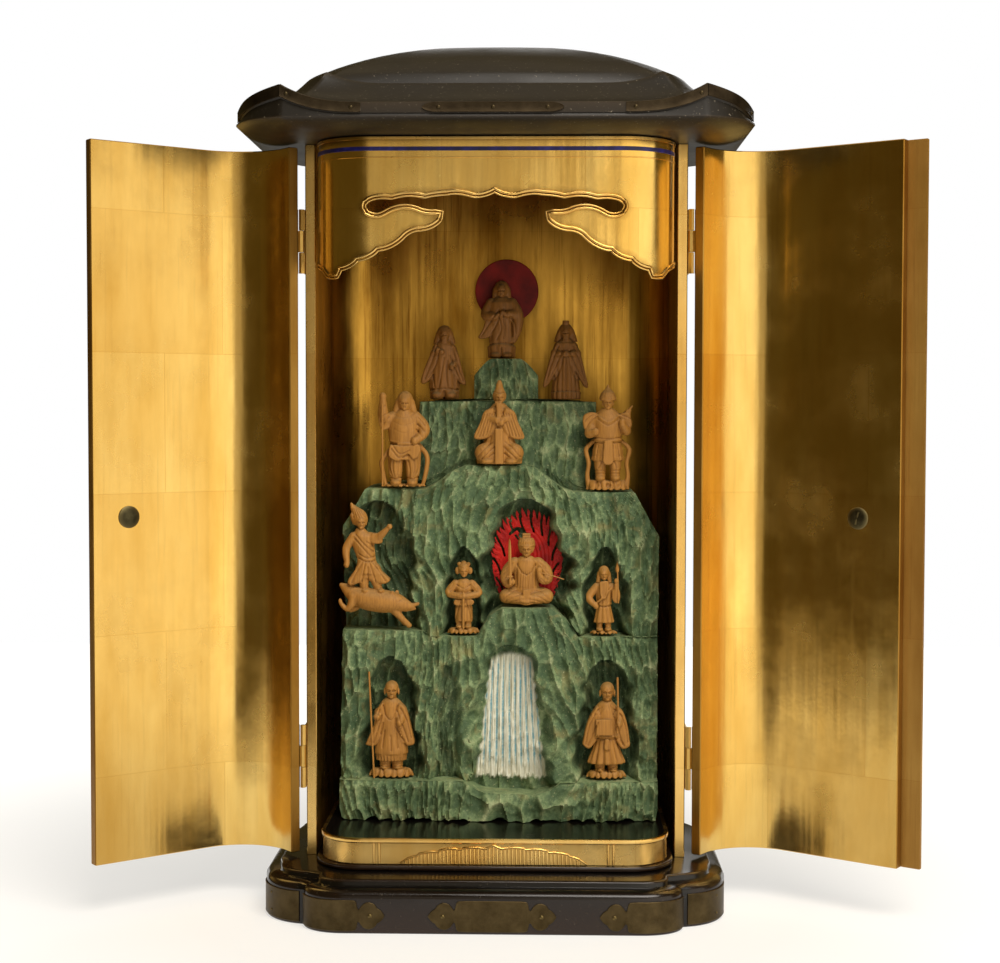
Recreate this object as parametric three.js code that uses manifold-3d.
// A folding shrine box: lacquered base and roof, gilded case with two curved
// doors, and a carved mountain with small wooden figures.
// Millimetres, +Z up, front towards -Y, origin under the middle of the base.
import * as THREE from 'three';
import { mergeVertices } from 'three/addons/utils/BufferGeometryUtils.js';
import Module from 'manifold-3d';

const wasm = await Module();
wasm.setup();

// ---- driving dimensions -------------------------------------------------

const clearance = 0.3;                    // between pieces that touch

const base = {
  halfWidth: 180.5, halfDepth: 125,       // widest plan size
  cuspX: 144, cuspY: 102,                 // inward corner beside each corner lobe
  lobeX: 138, lobeY: 62, lobeRadius: 40,  // centre and radius of a corner lobe
  frontStraight: 112,                     // half length of the straight front
  sideStraight: 50,
  faceHeight: 28, tierHeight: 38,
};

const hinge = {
  x: 152.75, y: -40,                      // the two door axes
  height: 50, lowerZ: 117, upperZ: 524,   // middle heights of the four hinges
  pinRadius: 2.3, leafThickness: 1.1,
};

const door = {
  bottom: 41, top: 597, thickness: 8.1,
  outerX: 150,                            // closed door's outer side face
  depth: 62.4, cornerRadius: 51.7,
  openLeft: 141.5, openRight: 145,        // degrees from closed
};

const board = {
  bottom: base.tierHeight + clearance, thickness: 4.4, front: 90, halfWidth: 139.6,
  frontRadius: 37, backRadius: 36,
};

const dais = { top: 63, halfWidth: 136, front: 88, back: 86, frontRadius: 34, backRadius: 33 };
dais.bottom = board.bottom + board.thickness + clearance;

const caseBox = {
  outerX: 150, wall: 8, front: hinge.y + 1, back: 100, cornerRadius: 44,
  bottom: board.bottom, top: 599.4,
};
caseBox.innerX = caseBox.outerX - caseBox.wall;

const roof = {
  bottom: 599.8, fasciaBottom: 609.4, fasciaTop: 618.2, footZ: 637.5, apexZ: 683,
  earRise: 13, footEarRise: 6,
};

// ---- materials ----------------------------------------------------------

const finish = {
  lacquer: new THREE.MeshStandardMaterial({ color: 0x17120d, roughness: 0.22, metalness: 0 }),
  goldLeaf: new THREE.MeshStandardMaterial({ color: 0xc8972f, roughness: 0.35, metalness: 1 }),
  bronze: new THREE.MeshStandardMaterial({ color: 0x4a3a26, roughness: 0.5, metalness: 1 }),
  iron: new THREE.MeshStandardMaterial({ color: 0x2a241f, roughness: 0.6, metalness: 0.8 }),
  rock: new THREE.MeshStandardMaterial({ color: 0x4f7a66, roughness: 0.8, metalness: 0 }),
  wood: new THREE.MeshStandardMaterial({ color: 0xa9713f, roughness: 0.65, metalness: 0 }),
  red: new THREE.MeshStandardMaterial({ color: 0xa0141a, roughness: 0.6, metalness: 0 }),
};

const shrine = new THREE.Group();

function addPiece(name, geometry, material, parent = shrine) {
  const mesh = new THREE.Mesh(geometry, material);
  mesh.name = name;
  parent.add(mesh);
  return mesh;
}

// ---- geometry helpers ---------------------------------------------------

function toSolid(geometry) {
  const bare = geometry.clone();
  bare.deleteAttribute('normal');
  bare.deleteAttribute('uv');
  const merged = mergeVertices(bare, 1e-4);
  const vertProperties = new Float32Array(merged.attributes.position.array);
  const triVerts = new Uint32Array(merged.index.array);
  return new wasm.Manifold(new wasm.Mesh({ numProp: 3, vertProperties, triVerts }));
}

function toGeometry(solid) {
  const { vertProperties, triVerts, numProp } = solid.getMesh();
  const geometry = new THREE.BufferGeometry();
  const count = vertProperties.length / numProp;
  const position = new Float32Array(count * 3);
  for (let i = 0; i < count; i++) {
    for (let k = 0; k < 3; k++) position[i * 3 + k] = vertProperties[i * numProp + k];
  }
  geometry.setAttribute('position', new THREE.BufferAttribute(position, 3));
  geometry.setIndex(new THREE.BufferAttribute(new Uint32Array(triVerts), 1));
  geometry.computeVertexNormals();
  return geometry;
}

function joined(geometries) {
  return toGeometry(geometries.map(toSolid).reduce((sum, next) => sum.add(next)));
}

// Closed body through rings of equal point count.
function loft(rings) {
  const count = rings[0].length;
  const position = rings.flat().flatMap((p) => [p.x, p.y, p.z]);
  const index = [];
  for (let r = 0; r + 1 < rings.length; r++) {
    for (let i = 0; i < count; i++) {
      const a = r * count + i;
      const b = r * count + (i + 1) % count;
      index.push(a, b, b + count, a, b + count, a + count);
    }
  }
  const cap = (ring, first, reversed) => {
    const plane = capPlane(ring);
    for (const [a, b, c] of THREE.ShapeUtils.triangulateShape(plane, [])) {
      index.push(first + a, first + (reversed ? c : b), first + (reversed ? b : c));
    }
  };
  cap(rings[0], 0, true);
  cap(rings.at(-1), (rings.length - 1) * count, false);
  const geometry = new THREE.BufferGeometry();
  geometry.setAttribute('position', new THREE.Float32BufferAttribute(position, 3));
  geometry.setIndex(index);
  return facingOut(geometry);
}

// Turns a closed body's faces outwards if its volume comes out negative.
function facingOut(geometry) {
  const { array } = geometry.index;
  const corner = (i) => new THREE.Vector3().fromBufferAttribute(geometry.attributes.position, array[i]);
  let volume = 0;
  for (let i = 0; i < array.length; i += 3) {
    volume += corner(i).dot(corner(i + 1).cross(corner(i + 2))) / 6;
  }
  if (volume < 0) {
    for (let i = 0; i < array.length; i += 3) [array[i], array[i + 1]] = [array[i + 1], array[i]];
  }
  geometry.computeVertexNormals();
  return geometry;
}

// The ring's points in the plane that it faces, for triangulating its cap.
function capPlane(ring) {
  const normal = new THREE.Vector3();
  ring.forEach((p, i) => {
    const q = ring[(i + 1) % ring.length];
    normal.x += (p.y - q.y) * (p.z + q.z);
    normal.y += (p.z - q.z) * (p.x + q.x);
    normal.z += (p.x - q.x) * (p.y + q.y);
  });
  const turn = new THREE.Quaternion().setFromUnitVectors(normal.normalize(), new THREE.Vector3(0, 0, 1));
  return ring.map((p) => {
    const flat = p.clone().applyQuaternion(turn);
    return new THREE.Vector2(flat.x, flat.y);
  });
}

function slab(shape, bottom, top, curveSegments = 8) {
  const geometry = new THREE.ExtrudeGeometry(shape, {
    depth: top - bottom, bevelEnabled: false, steps: 1, curveSegments,
  });
  return geometry.translate(0, 0, bottom);
}

function shapeFrom(points) {
  return new THREE.Shape(points.map(([x, y]) => new THREE.Vector2(x, y)));
}

// Points along an arc, both ends included; angles in degrees.
function arcPoints(cx, cy, rx, ry, from, to, steps) {
  return Array.from({ length: steps + 1 }, (_, i) => {
    const angle = THREE.MathUtils.degToRad(from + (to - from) * i / steps);
    return [cx + rx * Math.cos(angle), cy + ry * Math.sin(angle)];
  });
}

// A quarter outline from the front centre to the right side, mirrored to a
// full counter-clockwise ring.
function mirroredRing(quarter) {
  const right = [...quarter, ...quarter.slice(0, -1).reverse().map(([x, y]) => [x, -y])];
  const left = right.slice(1, -1).reverse().map(([x, y]) => [-x, y]);
  return [...right, ...left];
}

function normals(points) {
  return points.map((p, i) => {
    const before = points[(i + points.length - 1) % points.length];
    const after = points[(i + 1) % points.length];
    const u = new THREE.Vector2(p[0] - before[0], p[1] - before[1]).normalize();
    const v = new THREE.Vector2(after[0] - p[0], after[1] - p[1]).normalize();
    const n = new THREE.Vector2(u.y + v.y, -u.x - v.x).normalize();
    return n.multiplyScalar(1 / Math.max(0.5, n.x * u.y - n.y * u.x));
  });
}

function offset(points, distance) {
  const outward = normals(points);
  return points.map(([x, y], i) => [x + outward[i].x * distance, y + outward[i].y * distance]);
}

const atHeight = (points, z) => points.map(([x, y]) => new THREE.Vector3(x, y, z));

// Thin plate lying against a wall: columns of { foot, head, out }, where
// foot and head are 3-D points on the wall and out its outward direction.
function wallPlate(columns, gap, thickness) {
  const ring = ({ foot, head, out }) => {
    const inner = out.clone().multiplyScalar(gap);
    const outer = out.clone().multiplyScalar(gap + thickness);
    return [
      foot.clone().add(inner), foot.clone().add(outer),
      head.clone().add(outer), head.clone().add(inner),
    ];
  };
  return loft(columns.map(ring));
}

// ---- base ---------------------------------------------------------------

const plate = {
  thickness: 0.8, gap: 0.35,
  bottom: 2, top: 25.5,
  frontHalfLength: 48,
  cornerFrontX: 80.5,
  // half height of the plate's end against the distance from its tip
  tip: [[0, 0.1], [4, 0.58], [11, 0.82], [18.5, 0.38], [22, 0.72], [27, 1]],
};

function baseQuarter() {
  const { frontStraight, halfDepth, cuspX, cuspY, lobeX, lobeY, lobeRadius, sideStraight } = base;
  const frontBend = arcPoints(frontStraight, -cuspY, cuspX - frontStraight, halfDepth - cuspY, -90, 0, 4);
  const lobe = arcPoints(lobeX, -lobeY, lobeRadius, lobeRadius, -81, 0, 6);
  const side = [[base.halfWidth, -sideStraight], [base.halfWidth, 0]];
  return [[0, -halfDepth], ...frontBend, ...lobe.slice(1), ...side];
}

const baseRing = mirroredRing(baseQuarter());

function buildBase() {
  const levels = [
    [0, 0], [base.faceHeight - 1.5, 0], [30.5, -1.6], [32.6, -5], [34.4, -11], [base.tierHeight, -11.6],
  ];
  const rings = levels.map(([z, grow]) => atHeight(offset(baseRing, grow), z));
  addPiece('base_plinth', loft(rings), finish.lacquer);
}

// How much of the plate's full half height stands at a distance from its tip.
function tipShare(distance) {
  const { tip } = plate;
  const next = tip.findIndex(([d]) => d >= distance - 1e-6);
  if (next < 0) return 1;
  if (next === 0) return tip[0][1];
  const [d0, s0] = tip[next - 1];
  const [d1, s1] = tip[next];
  return s0 + (s1 - s0) * (distance - d0) / (d1 - d0);
}

function baseColumn([x, y], out, share) {
  const middle = (plate.bottom + plate.top) / 2;
  const half = (plate.top - plate.bottom) / 2 * share;
  return {
    foot: new THREE.Vector3(x, y, middle - half),
    head: new THREE.Vector3(x, y, middle + half),
    out: new THREE.Vector3(out.x, out.y, 0),
  };
}

function buildBasePlates() {
  const { gap, thickness, tip, frontHalfLength, cornerFrontX } = plate;
  const ahead = { x: 0, y: -1 };
  const onFront = (x, share) => baseColumn([x, -base.halfDepth], ahead, share);
  const leftHalf = tip.map(([distance, share]) => onFront(distance - frontHalfLength, share));
  const rightHalf = tip.map(([distance, share]) => onFront(frontHalfLength - distance, share)).reverse();
  addPiece('base_plate_front', wallPlate([...leftHalf, ...rightHalf], gap, thickness), finish.bronze);

  const outward = normals(baseRing);
  const lobeEnd = base.lobeX + base.lobeRadius;
  const round = baseRing.map((p, i) => baseColumn(p, outward[i], 1))
    .filter(({ foot }) => foot.y < 0 && foot.x > base.frontStraight - 1 && foot.x < lobeEnd + 0.01);
  const corner = [...tip.map(([distance, share]) => onFront(cornerFrontX + distance, share)), ...round];
  const right = wallPlate(corner, gap, thickness);
  for (const [end, flipY] of [['front', false], ['rear', true]]) {
    for (const [hand, flipX] of [['right', false], ['left', true]]) {
      addPiece(`base_plate_${end}_${hand}`, mirrored(right, flipX, flipY), finish.bronze);
    }
  }
}

function mirrored(geometry, flipX, flipY) {
  return facingOut(geometry.clone().scale(flipX ? -1 : 1, flipY ? -1 : 1, 1));
}

// ---- roof ---------------------------------------------------------------

const roofPlate = { frontHalfLength: 48, cornerFrontX: 100 };

// Shares of the half front edge where the roof's outlines have points.
const roofStops = [0, 0.3, 0.637, 0.76, 0.86, 0.94];
const cornerSteps = 4;

// Quarter outline between a front edge with an ear at earX and a side.
function roofQuarter({ earX, front, side, sideY }) {
  const edge = roofStops.map((share) => [share * earX, -front]);
  const corner = Array.from({ length: cornerSteps + 1 }, (_, i) => {
    const t = i / cornerSteps;
    const bulge = 0.28 * Math.sin(Math.PI * t);
    const x = earX + (side - earX) * (t + bulge * 0.5);
    const y = -front + (front - sideY) * (t - bulge * 0.5);
    return [Math.min(side, x), y];
  });
  return [...edge, ...corner, [side, -sideY * 0.5], [side, 0]];
}

// Share of the ear's rise at each point of the quarter outline.
function roofRise(earX) {
  return roofQuarter({ earX, front: 128, side: 195, sideY: 80 }).map(([x], i) => {
    if (i < roofStops.length) return Math.max(0, (x / earX - 0.68) / 0.32) ** 2;
    const t = Math.min(1, (i - roofStops.length) / cornerSteps);
    return 1 - t ** 1.25;
  });
}

const roofOutlines = {
  under: { earX: 136, front: 100, side: 163, sideY: 64 },
  soffit: { earX: 148, front: 118, side: 184, sideY: 74 },
  eave: { earX: 157, front: 128, side: 195, sideY: 80 },
  sweep: { earX: 142, front: 110, side: 174, sideY: 70 },
  foot: { earX: 127, front: 92, side: 150, sideY: 60 },
};

function roofRing(outline, z, rise) {
  const quarter = roofQuarter(outline);
  const share = roofRise(outline.earX);
  const ring = mirroredRing(quarter);
  const shares = mirroredRing(quarter.map((_, i) => [share[i], 0])).map(([s]) => Math.abs(s));
  return ring.map(([x, y], i) => new THREE.Vector3(x, y, z + rise * shares[i]));
}

function buildRoof() {
  const { bottom, fasciaBottom, fasciaTop, footZ, apexZ, earRise, footEarRise } = roof;
  const { under, soffit, eave, sweep, foot } = roofOutlines;
  const rings = [
    roofRing(under, bottom, 0),
    roofRing(soffit, bottom + 3.2, earRise * 0.35),
    roofRing(eave, fasciaBottom, earRise * 0.85),
    roofRing(eave, fasciaTop, earRise),
    roofRing(sweep, fasciaTop + 5.5, footEarRise),
    roofRing(foot, footZ, footEarRise),
  ];
  const domeSteps = [0.985, 0.93, 0.82, 0.65, 0.42, 0.18];
  for (const scale of domeSteps) {
    const ring = roofRing(foot, 0, 0).map((p) => {
      const blend = 1 - scale ** 6;
      const radius = Math.hypot(p.x / foot.side, p.y / foot.front);
      const round = 1 + blend * (1 / Math.max(radius, 0.01) - 1) * 0.5;
      const height = (1 - scale ** 2.6) ** 0.6;
      return new THREE.Vector3(p.x * scale * round, p.y * scale * round, footZ + (apexZ - footZ) * height);
    });
    rings.push(ring);
  }
  addPiece('roof', loft(rings), finish.lacquer);
}

function buildRoofPlates() {
  const { fasciaBottom, fasciaTop, earRise } = roof;
  const flat = mirroredRing(roofQuarter(roofOutlines.eave));
  const outward = normals(flat);
  const foot = roofRing(roofOutlines.eave, fasciaBottom, earRise * 0.85);
  const head = roofRing(roofOutlines.eave, fasciaTop, earRise);
  const columns = flat.map(([x, y], i) => ({
    x, y,
    foot: foot[i].clone().add(new THREE.Vector3(0, 0, 0.4)),
    head: head[i].clone().add(new THREE.Vector3(0, 0, -0.2)),
    out: new THREE.Vector3(outward[i].x, outward[i].y, 0),
  }));
  const { frontHalfLength, cornerFrontX } = roofPlate;
  const front = columns.filter(({ x, y }) => y < -127 && Math.abs(x) < frontHalfLength + 1);
  front.sort((a, b) => a.x - b.x);
  addPiece('roof_plate_front', wallPlate(front, plate.gap, plate.thickness), finish.bronze);
  const corner = columns.filter(({ x, y }) => x > cornerFrontX - 1 && y < -79);
  const right = wallPlate(corner, plate.gap, plate.thickness);
  for (const [end, flipY] of [['front', false], ['rear', true]]) {
    for (const [hand, flipX] of [['right', false], ['left', true]]) {
      addPiece(`roof_plate_${end}_${hand}`, mirrored(right, flipX, flipY), finish.bronze);
    }
  }
}

// ---- case, floor board, dais --------------------------------------------

// Front line with its two rounded corners, from left to right.
function roundedFront(halfWidth, front, radius) {
  const right = arcPoints(halfWidth - radius, -front + radius, radius, radius, -90, 0, 6);
  const left = right.map(([x, y]) => [-x, y]).reverse();
  return [...left, ...right];
}

function roundedBox(halfWidth, front, back, frontRadius, backRadius) {
  const rear = roundedFront(halfWidth, back, backRadius).map(([x, y]) => [x, -y]).reverse();
  return [...roundedFront(halfWidth, front, frontRadius), ...rear];
}

function buildFloor() {
  const { halfWidth, front, frontRadius, backRadius } = board;
  const shape = shapeFrom(roundedBox(halfWidth, front, caseBox.back - caseBox.wall - 1, frontRadius, backRadius));
  addPiece('floor_board', slab(shape, board.bottom, board.bottom + board.thickness), finish.lacquer);
}

function buildDais() {
  const outline = roundedBox(dais.halfWidth, dais.front, dais.back, dais.frontRadius, dais.backRadius);
  const rim = 3.2;
  const rings = [
    [dais.bottom, -0.8], [dais.top - rim, -0.8], [dais.top, 0],
  ].map(([z, grow]) => atHeight(offset(outline, grow), z));
  addPiece('dais', loft(rings), finish.goldLeaf);
}

function buildCase() {
  const { outerX, innerX, front, back, cornerRadius, bottom, top, wall } = caseBox;
  const sideBack = back - cornerRadius - clearance;
  const sideShape = shapeFrom([[innerX, front], [outerX, front], [outerX, sideBack], [innerX, sideBack]]);
  const right = slab(sideShape, bottom, top);
  addPiece('case_side_right', right, finish.goldLeaf);
  addPiece('case_side_left', mirrored(toGeometry(toSolid(right)), true, false), finish.goldLeaf);
  const centre = outerX - cornerRadius;
  const outer = arcPoints(centre, back - cornerRadius, cornerRadius, cornerRadius, 0, 90, 7);
  const innerRadius = cornerRadius - wall;
  const inner = arcPoints(centre, back - cornerRadius, innerRadius, innerRadius, 90, 0, 7);
  const flip = (points) => points.map(([x, y]) => [-x, y]).reverse();
  const outline = [...outer, ...flip(outer), ...flip(inner), ...inner];
  addPiece('case_back', slab(shapeFrom(outline), bottom, top), finish.goldLeaf);
}

// ---- valance ------------------------------------------------------------

const valance = {
  bottomReach: 494, halfWidth: 139, front: 87, cornerRadius: 44, thickness: 4.5,
  back: hinge.y + 3,
};

// Right half of the opening's edge, from the middle outwards: a scalloped top
// edge, a slot behind a leaf, and scalloped lobes down to the side.
function valanceEdge() {
  const edge = new THREE.Path();
  edge.moveTo(0, 561);
  edge.quadraticCurveTo(7, 556.5, 15.5, 556.6);
  edge.quadraticCurveTo(28, 560.5, 36, 558.6);
  edge.quadraticCurveTo(47, 558, 53, 556.2);
  edge.quadraticCurveTo(66, 559.5, 78, 555.4);
  edge.bezierCurveTo(92, 557.5, 101.5, 553, 101.5, 546.3);
  edge.bezierCurveTo(101.5, 539, 91, 533.5, 82, 539.4);
  edge.quadraticCurveTo(70, 547, 57, 541);
  edge.quadraticCurveTo(50, 538.5, 42, 540);
  edge.quadraticCurveTo(45, 533, 56, 531.4);
  edge.quadraticCurveTo(64, 531.5, 70, 526);
  edge.quadraticCurveTo(78, 517, 90, 516);
  edge.quadraticCurveTo(95, 509.5, 105.5, 508.6);
  edge.quadraticCurveTo(110, 502.5, 119, 501.8);
  edge.lineTo(121, valance.bottomReach + 2);
  edge.lineTo(127, valance.bottomReach + 2.5);
  edge.lineTo(131.5, 502);
  edge.lineTo(valance.halfWidth + 1, 508);
  return edge.getPoints(3).map(({ x, y }) => [x, y]);
}

function buildValance() {
  const { halfWidth, front, cornerRadius, thickness, back, bottomReach } = valance;
  const outer = roundedFront(halfWidth, front, cornerRadius);
  const inner = roundedFront(halfWidth - thickness, front - thickness, cornerRadius - thickness);
  const path = [[-halfWidth, back], ...outer, [halfWidth, back],
    [halfWidth - thickness, back], ...inner.reverse(), [-halfWidth + thickness, back]];
  const wall = toSolid(slab(shapeFrom(path), bottomReach - 6, caseBox.top - clearance));
  const edge = valanceEdge();
  const openLeft = edge.slice(1).map(([x, z]) => [-x, z]).reverse();
  const opening = [...openLeft, ...edge, [halfWidth + 1, bottomReach - 20], [-halfWidth - 1, bottomReach - 20]];
  const cutter = slab(shapeFrom(opening), -200, 200, 4).rotateX(Math.PI / 2);
  addPiece('valance', toGeometry(wall.subtract(toSolid(cutter))), finish.goldLeaf);
}

// ---- doors and hinges ---------------------------------------------------

// Door section in plan, closed, for the right door, seen from its own axis.
function doorSection() {
  const { outerX, depth, cornerRadius, thickness } = door;
  const dx = outerX - hinge.x;
  const centreX = dx - cornerRadius;
  const centreY = -depth + cornerRadius;
  const outer = arcPoints(centreX, centreY, cornerRadius, cornerRadius, 0, -90, 9);
  const innerRadius = cornerRadius - thickness;
  const inner = arcPoints(centreX, centreY, innerRadius, innerRadius, -90, 0, 9);
  const meeting = -hinge.x + clearance / 2;
  return [[dx, -clearance], ...outer, [meeting, -depth], [meeting, -depth + thickness], ...inner,
    [dx - thickness, -clearance]];
}

// Cover strip outside the meeting edge, lapping the other door when closed.
const astragal = { own: 9, lap: 15, thickness: 3.6 };

function astragalSection() {
  const y = -door.depth - clearance;
  const x = -hinge.x;
  return [[x - astragal.lap, y - astragal.thickness], [x + astragal.own, y - astragal.thickness],
    [x + astragal.own, y], [x - astragal.lap, y]];
}

const boss = { radius: 8.6, thickness: 2, fromMeeting: 36, z: 310 };

function bossGeometry() {
  const disc = new THREE.LatheGeometry([
    new THREE.Vector2(0, 0), new THREE.Vector2(boss.radius, 0),
    new THREE.Vector2(boss.radius, boss.thickness * 0.6), new THREE.Vector2(boss.radius - 1.6, boss.thickness),
    new THREE.Vector2(0, boss.thickness),
  ], 14);
  const y = -door.depth + door.thickness + clearance;
  return disc.translate(-hinge.x + boss.fromMeeting, y, boss.z);
}

// One hinge leaf: a flat plate beside the axis and its share of the knuckle.
function hingeLeaf({ toBack, width, knuckles }) {
  const face = door.outerX - hinge.x + clearance;
  const away = toBack ? 1 : -1;
  const near = hinge.pinRadius + 0.4;
  const strip = (from, to, foot, head) => new THREE.BoxGeometry(hinge.leafThickness, to - from, head - foot)
    .translate(face + hinge.leafThickness / 2, away * (from + to) / 2, (foot + head) / 2);
  const parts = [strip(near, width, -hinge.height / 2, hinge.height / 2)];
  for (const [foot, head] of knuckles) {
    const knuckle = new THREE.CylinderGeometry(hinge.pinRadius, hinge.pinRadius, head - foot, 6);
    parts.push(knuckle.rotateX(Math.PI / 2).translate(0, 0, (foot + head) / 2));
    parts.push(strip(0.5, near + 0.5, foot, head));
  }
  return joined(parts);
}

function buildHinges(caseGroup, doorGroup, hand, flip) {
  const third = hinge.height / 6;
  const caseLeaf = hingeLeaf({
    toBack: true, width: 17, knuckles: [[-3 * third, -third - 0.4], [third + 0.4, 3 * third]],
  });
  const doorLeaf = hingeLeaf({ toBack: false, width: 10, knuckles: [[-third, third]] });
  for (const [level, z] of [['lower', hinge.lowerZ], ['upper', hinge.upperZ]]) {
    const onCase = addPiece(`hinge_${level}_${hand}_case_leaf`, mirrored(caseLeaf, flip, false), finish.iron, caseGroup);
    onCase.position.z = z;
    const onDoor = addPiece(`hinge_${level}_${hand}_door_leaf`, mirrored(doorLeaf, flip, false), finish.iron, doorGroup);
    onDoor.position.z = z;
  }
}

function buildDoor(hand) {
  const flip = hand === 'left';
  const side = flip ? -1 : 1;
  const axis = new THREE.Vector3(side * hinge.x, hinge.y, 0);
  const caseGroup = new THREE.Group();
  caseGroup.position.copy(axis);
  const doorGroup = new THREE.Group();
  doorGroup.position.copy(axis);
  doorGroup.rotation.z = side * THREE.MathUtils.degToRad(flip ? door.openLeft : door.openRight);
  shrine.add(caseGroup, doorGroup);

  const panel = toGeometry(toSolid(slab(shapeFrom(doorSection()), door.bottom, door.top)));
  addPiece(`door_${hand}`, mirrored(panel, flip, false), finish.goldLeaf, doorGroup);
  addPiece(`door_${hand}_boss`, mirrored(toGeometry(toSolid(bossGeometry())), flip, false), finish.bronze, doorGroup);
  if (!flip) {
    const strip = slab(shapeFrom(astragalSection()), door.bottom, door.top);
    addPiece('door_right_astragal', strip, finish.goldLeaf, doorGroup);
  }
  buildHinges(caseGroup, doorGroup, hand, flip);
}

// ---- mountain -----------------------------------------------------------

const rock = { bottom: dais.top + clearance, back: 78, gouge: 2.2 };

// Half-outline of the mountain seen from the front: [height, left x, right x].
const rockProfile = [
  [rock.bottom, -126, 130], [214, -125, 130], [309, -126, 133], [328, -107, 111],
  [329, -64, 82], [400, -65, 81], [401, -20, 33], [421, -20, 33], [434, -7, 19], [435.2, -5, 17],
];

// Rock masses: each runs from x0 to x1 and up to its top, where figures stand.
// front is where its face stands at the foot of the mountain; it leans back.
const crags = [
  { x0: -126, x1: 130, top: 95, front: -27 },
  { x0: -126, x1: -58, top: 214.5, front: -20 },
  { x0: -58, x1: 112, top: 209.5, front: -22 },
  { x0: -8, x1: 58, top: 233, front: -23 },
  { x0: 104, x1: 134, top: 300, front: -16 },
  { x0: -64, x1: 112, top: 326.5, front: -19 },
  { x0: -110, x1: -52, top: 328.8, front: -12 },
  { x0: -52, x1: 50, top: 347.5, front: -16 },
  { x0: -66, x1: 84, top: 400.4, front: 3 },
  { x0: -22, x1: 35, top: 421, front: 8 },
  { x0: -8, x1: 20, top: 436, front: 9 },
];

// Hollows behind the figures and for the waterfall, arched at the top.
const hollows = [
  { x: -85, halfWidth: 31, floor: 95.2, top: 200, back: 8 },
  { x: 89, halfWidth: 30, floor: 95.2, top: 196, back: 8 },
  { x: 11, halfWidth: 36, floor: 89, top: 203, back: -2 },
  { x: -97, halfWidth: 38, floor: 214.7, top: 345, back: 22 },
  { x: -27, halfWidth: 20, floor: 209.7, top: 284, back: 22 },
  { x: 24, halfWidth: 44, floor: 233.2, top: 345, back: 28 },
  { x: 88, halfWidth: 22, floor: 209.7, top: 282, back: 22 },
];

function rockFront(x, z) {
  const lean = 0.085 * (z - rock.bottom);
  let y = rock.back - 6;
  for (const { x0, x1, top, front } of crags) {
    if (z > top) continue;
    const across = (2 * x - x0 - x1) / (x1 - x0);
    if (Math.abs(across) > 1) continue;
    y = Math.min(y, front + lean + 9 * Math.abs(across) ** 5);
  }
  for (const { x: middle, halfWidth, floor, top, back } of hollows) {
    const up = (z - floor) / (top - floor);
    if (up < 0 || up > 1) continue;
    const across = Math.abs(x - middle) / (halfWidth * Math.sqrt(1 - up ** 3));
    if (across < 1) y = Math.max(y, y + (back - y) * Math.min(1, 4 * (1 - across)));
  }
  return y + rock.gouge * Math.sin(x * 0.33 + 2.4 * Math.sin(z * 0.05)) * Math.cos(z * 0.11 + x * 0.04);
}

function buildMountain() {
  const columns = 19;
  const heights = [];
  const ledges = [95, 209.5, 214.5, 233, 300, 326.5, 328.8, 347.5, 400.4, 421];
  for (let z = rock.bottom; z < 434; z += 22) {
    if (ledges.every((ledge) => Math.abs(z - ledge) > 3.5)) heights.push(z);
  }
  ledges.forEach((ledge) => heights.push(ledge - 0.1, ledge + 0.3));
  heights.push(435.2);
  heights.sort((a, b) => a - b);
  const edgeAt = (z, side) => {
    const next = Math.max(1, rockProfile.findIndex(([h]) => h >= z));
    const [h0, ...from] = rockProfile[next - 1];
    const [h1, ...to] = rockProfile[next];
    return from[side] + (to[side] - from[side]) * (z - h0) / (h1 - h0);
  };
  const rings = heights.map((z) => {
    const left = edgeAt(z, 0);
    const right = edgeAt(z, 1);
    const front = Array.from({ length: columns }, (_, i) => {
      const x = left + (right - left) * i / (columns - 1);
      return new THREE.Vector3(x, rockFront(x, z), z);
    });
    const back = rock.back - (z > 401 ? 12 : 0);
    return [...front, new THREE.Vector3(right, back, z), new THREE.Vector3(left, back, z)];
  });
  addPiece('mountain', loft(rings), finish.rock);
}

// ---- carving kit --------------------------------------------------------

// Upright body through ellipses: [height, half width, half depth, x, y].
function stack(levels, sides = 7) {
  return loft(levels.map(([z, rx, ry, x = 0, y = 0]) => Array.from({ length: sides }, (_, i) => {
    const angle = 2 * Math.PI * i / sides;
    return new THREE.Vector3(x + rx * Math.cos(angle), y + ry * Math.sin(angle), z);
  })));
}

// Round limb along a bent line: [x, y, z, radius] at each joint.
function limb(joints, sides = 4) {
  const points = joints.map(([x, y, z]) => new THREE.Vector3(x, y, z));
  return loft(points.map((point, i) => {
    const before = points[Math.max(0, i - 1)];
    const after = points[Math.min(points.length - 1, i + 1)];
    const along = after.clone().sub(before).normalize();
    const seed = Math.abs(along.y) > 0.8 ? new THREE.Vector3(0, 0, 1) : new THREE.Vector3(0, 1, 0);
    const u = new THREE.Vector3().crossVectors(seed, along).normalize();
    const v = new THREE.Vector3().crossVectors(along, u);
    return Array.from({ length: sides }, (_, k) => {
      const angle = 2 * Math.PI * k / sides;
      const reach = joints[i][3];
      return point.clone().addScaledVector(u, reach * Math.cos(angle)).addScaledVector(v, reach * Math.sin(angle));
    });
  }));
}

function ball(x, y, z, rx, ry = rx, rz = rx) {
  return new THREE.SphereGeometry(1, 6, 4).rotateX(Math.PI / 2).scale(rx, ry, rz).translate(x, y, z);
}

function block(x, y, z, width, depth, height) {
  return new THREE.BoxGeometry(width, depth, height).translate(x, y, z);
}

const bothSides = (make) => [make(-1), make(1)];

// Small uneven ground under a figure's feet.
function ground(halfWidth, halfDepth, height) {
  return stack([[0, halfWidth, halfDepth], [height * 0.6, halfWidth * 0.94, halfDepth * 0.92],
    [height, halfWidth * 0.8, halfDepth * 0.75]], 9);
}

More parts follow.
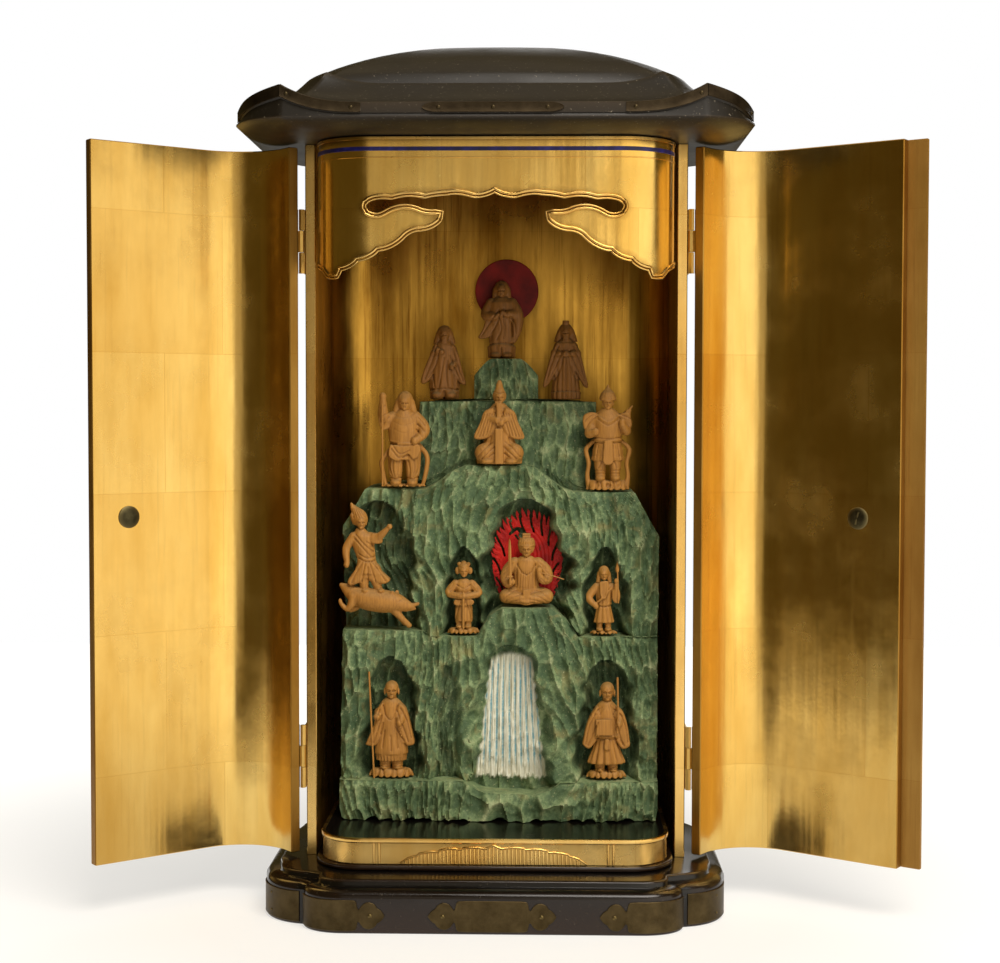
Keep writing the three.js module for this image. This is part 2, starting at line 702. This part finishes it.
function addFigure(name, [x, y, z], parts) {
  const mesh = addPiece(name, joined(parts), finish.wood);
  mesh.position.set(x, y, z + clearance);
}

// ---- figures, from the peak down ----------------------------------------

function buildPeakFigures() {
  addFigure('figure_peak', [2.4, 52, 435.2], [
    stack([[0, 12, 8], [4, 12.5, 8.5], [22, 10.5, 8], [36, 13, 8.5], [46, 10.5, 7], [51.5, 4.5, 4.5]]),
    ball(0, -1, 56.5, 4.8, 5, 6.2),
    ball(0, 1.5, 56, 7, 6, 8), ball(0, 3, 46, 9, 5, 9),
    ...bothSides((s) => limb([[9.5 * s, 0, 46, 4], [14 * s, -2, 34, 5.2], [4 * s, -8, 36, 3.2]])),
    limb([[-13, -2, 34, 4], [-16, -1, 24, 3.4], [-17.5, 0, 17, 1.4]]),
  ]);
  addFigure('figure_upper_left', [-45, 44, 400.7], [
    stack([[0, 14, 9], [5, 15, 10], [16, 13, 9.5], [30, 12, 8.5], [44, 10, 7], [49, 4.5, 4.5]]),
    ball(0, -1, 54, 5, 5, 6), ball(0, 1, 55, 6.6, 6, 6.6), ball(0, -4, 47, 3.4, 2.4, 5.5),
    ...bothSides((s) => limb([[8.5 * s, 0, 43, 4.6], [15 * s, -2, 27, 7], [4 * s, -8.5, 31, 3.6]])),
  ]);
  addFigure('figure_upper_right', [56, 44, 400.7], [
    stack([[0, 13, 9], [4, 14, 10], [18, 11.5, 9], [34, 12, 8.5], [46, 10, 7], [51, 4.5, 4.5]]),
    ball(0, -1, 56, 5, 5, 6), ball(0, 1, 57.5, 6.4, 6, 7), ball(0, -4, 49, 3.4, 2.4, 5.5),
    ...bothSides((s) => limb([[8.5 * s, 0, 45, 4.8], [14 * s, -3, 30, 7.4], [2 * s, -9, 36, 3.8]])),
  ]);
}

function buildMiddleFigures() {
  const ribbon = (s) => limb([[11 * s, 3, 44, 2], [18 * s, 2, 28, 2.4], [16 * s, 0, 0.5, 2.2]]);
  addFigure('figure_middle_left', [-76, 12, 329.1], [
    ground(19, 9, 2),
    ...bothSides((s) => limb([[6.5 * s, -3, 1, 5], [6.5 * s, -1, 9, 5.4], [6 * s, 0, 26, 7]])),
    stack([[22, 13, 9], [34, 13, 9], [48, 13.5, 9.5], [58, 11, 7.5], [63, 5, 5]]),
    ball(0, -1.5, 68, 5.6, 5.4, 6.4), ball(0, 1, 68, 7.6, 6.6, 9.6),
    limb([[-10, 0, 57, 5], [-15, -3, 60, 5.4], [-17, -6, 70, 3.6], [-17, -7, 77, 2.4]]),
    limb([[10, 0, 57, 5], [17, -2, 46, 5], [9, -8, 38, 3.2]]),
    ...bothSides(ribbon),
  ]);
  addFigure('figure_middle_centre', [1.6, 13, 347.8], [
    stack([[0, 20, 11], [5, 20, 11.5], [18, 14, 10], [32, 11, 8], [44, 10, 7], [50, 4.5, 4.5]]),
    ball(0, -1.5, 54.5, 5, 5, 6), ball(0, 0, 61, 3.6, 3.6, 6.4),
    ...bothSides((s) => limb([[8.5 * s, 0, 45, 4.8], [16 * s, -4, 32, 6], [3 * s, -9, 38, 3.2]])),
    block(0, -10.5, 14.5, 6.4, 3, 28), block(0, -9, 45, 3, 4.4, 22),
  ]);
  addFigure('figure_middle_right', [90, 12, 326.8], [
    ground(18, 9, 8),
    ...bothSides((s) => limb([[6 * s, -3, 6, 4], [6 * s, -1, 14, 4.6], [5.5 * s, 0, 30, 6]])),
    stack([[26, 14, 9.5], [38, 12.5, 9], [41, 10.5, 8], [52, 12.5, 8.5], [63, 10.5, 7], [67.5, 4.8, 4.8]]),
    ball(0, -1.5, 72, 5.4, 5.4, 6.2),
    stack([[70, 7.4, 7], [75, 7, 6.6], [79, 4.6, 4.4], [84.5, 0.7, 0.7]], 8),
    limb([[-9.5, 0, 62, 5], [-16, -2, 52, 5.4], [-11, -7, 47, 3.6]]),
    limb([[9.5, 0, 62, 5], [16, -2, 52, 5], [12, -7, 56, 3.6]]),
    limb([[13, -1, 60, 4.6], [18, 0, 68, 3]]),
    ...bothSides((s) => limb([[11 * s, 3, 50, 2], [18 * s, 2, 36, 2.4], [16 * s, 0, 6, 2.2]])),
  ]);
}

function buildHollowFigures() {
  addFigure('figure_boar_rider', [-96, -3, 215], [
    limb([[-31, 2, 35, 1.2], [-22, 1, 29, 5.5], [-8, 0, 25, 8.5], [8, 0, 22, 8], [19, -1, 18, 5.5], [32, -1, 17, 1.6]], 6),
    ball(16, -2, 27, 2.4, 2, 4), limb([[9, -1, 17, 4.4], [17, -1, 9, 2.6], [24, 0, 1.7, 2]]),
    limb([[10, 3, 16, 4], [21, 5, 3, 1.8]]),
    limb([[-20, -2, 25, 4], [-24, -2, 15, 3], [-30, -1, 20, 2]]),
    ...bothSides((s) => limb([[-5 + 7 * s, 0, 28, 3.4], [-7 + 6 * s, -1, 40, 4.4], [-9 + 3 * s, 0, 52, 6]])),
    stack([[42, 15, 9, -7, 1], [50, 11, 8, -9, 0], [60, 8, 6.5, -11, 0], [74, 10, 7, -13, 0], [80, 4, 4, -14, 0]]),
    ball(-15, -1, 85, 5, 5, 6), limb([[-14, 0, 88, 6], [-17, 1, 95, 4], [-20, 1, 103, 1]]),
    limb([[-20, 0, 76, 3.8], [-26, -2, 64, 3.2], [-27, -5, 50, 2.2]]),
    limb([[-6, 0, 75, 3.8], [2, -3, 77, 3.4], [11, -6, 85, 2.2]]),
  ]);
  addFigure('figure_acolyte_left', [-27, 3, 210], [
    ground(14, 8, 5),
    ...bothSides((s) => limb([[3.6 * s, -2, 4, 2.6], [3.8 * s, 0, 18, 4.2]])),
    stack([[12, 7.5, 6], [24, 7, 5.5], [34, 8, 6], [42, 7.4, 5], [45.5, 3.4, 3.4]]),
    ball(0, -1, 50, 4.4, 4.4, 5), ball(0, 0.5, 52, 5.6, 5.2, 5.6),
    ...bothSides((s) => limb([[7 * s, 0, 41, 3.8], [12 * s, -2, 34, 3.8], [1.5 * s, -7, 31, 2.6]])),
    limb([[0, -7, 33, 1.6], [0, -6.5, 6, 1.2]], 5),
  ]);
  addFigure('figure_seated', [24, 6, 233.5], [
    stack([[0, 20, 11], [3, 21, 12], [9, 18, 11], [13, 10, 8], [24, 10.5, 7.5], [36, 11, 7], [40, 4.4, 4.4]]),
    ball(0, -1.5, 46, 5.4, 5.2, 6.2), ball(0, 0, 48.5, 6.2, 5.8, 6.2), stack([[52, 3.4, 3.4, 0, 1], [58.5, 3.6, 3.6, 0, 1]], 8),
    limb([[-9.5, 0, 35, 5], [-17, -2, 24, 5], [-12, -8, 18, 3]]),
    limb([[9.5, 0, 35, 5], [17, -2, 26, 5], [11, -8, 29, 3]]),
    ...bothSides((s) => limb([[9 * s, -1, 6, 6], [18 * s, -4, 6, 5.4], [4 * s, -10, 5, 4]])),
  ]);
  addFigure('figure_acolyte_right', [87, 3, 210], [
    ground(12, 8, 3),
    ...bothSides((s) => limb([[3.4 * s, -2, 2, 2.6], [3.6 * s, 0, 14, 4]])),
    stack([[9, 9, 6.5], [22, 6.5, 5.5], [32, 7.5, 6], [40, 7, 5], [43.5, 3.4, 3.4]]),
    ball(0, -1, 48, 4.2, 4.2, 5), ball(0, 1, 49.5, 5.2, 5, 6.4), ball(0, 2.4, 42, 6, 4, 7),
    limb([[-6.5, 0, 39, 3.8], [-12, -2, 31, 3.4], [-6, -7, 24, 2.2]]),
    limb([[6.5, 0, 39, 3.8], [11, -3, 34, 3.2], [11.5, -5, 45, 2]]),
  ]);
}

function buildPriests() {
  const gown = [[5, 12, 8.5], [9, 12.5, 9], [30, 10.5, 8], [48, 11, 8], [60, 10, 7], [63.5, 4.8, 4.8], [67, 4, 4]];
  addFigure('figure_priest_left', [-85, -10, 95.4], [
    ground(20, 10, 6), stack(gown), ball(0, -1, 70.5, 5.4, 5.2, 6.4), ball(0, 1, 73, 6, 5.8, 6),
    ...bothSides((s) => limb([[8.5 * s, 0, 59, 4.8], [15 * s, -2, 41, 8], [5 * s, -8.5, 45, 4]])),
  ]);
  addFigure('figure_priest_right', [89, -10, 95.4], [
    ground(21, 10, 6), stack(gown), ball(0, -1, 71.5, 5.4, 5.2, 6.6), ball(0, 1, 74.5, 6, 5.8, 6),
    ...bothSides((s) => limb([[8.5 * s, 0, 59, 4.8], [15 * s, -2, 41, 8], [5 * s, -8.5, 48, 4]])),
    block(0, -10, 51, 17, 3, 15), limb([[9.5, -8.5, 50, 1.3], [8, -8.5, 80, 1.1]], 5),
  ]);
}

// ---- loose attributes ---------------------------------------------------

function addStick(name, from, to, radius) {
  addPiece(name, limb([[...from, radius], [...to, radius]], 6), finish.wood);
}

function buildAttributes() {
  const disc = new THREE.CylinderGeometry(26.6, 26.6, 2.4, 24);
  addPiece('sun_disc', disc.translate(6.5, 63.5, 492), finish.red);

  const flame = new THREE.Shape();
  flame.moveTo(-21, 0);
  flame.quadraticCurveTo(-36, 22, -27, 50);
  flame.quadraticCurveTo(-22, 66, 2, 79);
  flame.quadraticCurveTo(26, 66, 29, 44);
  flame.quadraticCurveTo(33, 18, 22, 0);
  const halo = slab(flame, 0, 2, 5).rotateX(Math.PI / 2);
  addPiece('flame_halo', halo.translate(24, 20.6, 234.2), finish.red);

  addStick('staff_middle_left', [-93, 1.2, 329.6], [-93, 1.2, 397], 0.8);
  addStick('staff_priest_left', [-98, -21.2, 95.6], [-102, -21.2, 182], 0.9);
  addStick('sword', [11, -5.4, 250.5], [10.5, -5.4, 288], 1.1);
}

buildBase();
buildBasePlates();
buildFloor();
buildDais();
buildCase();
buildRoof();
buildRoofPlates();
buildValance();
buildDoor('left');
buildDoor('right');
buildMountain();
buildPeakFigures();
buildMiddleFigures();
buildHollowFigures();
buildPriests();
buildAttributes();

export default shrine;
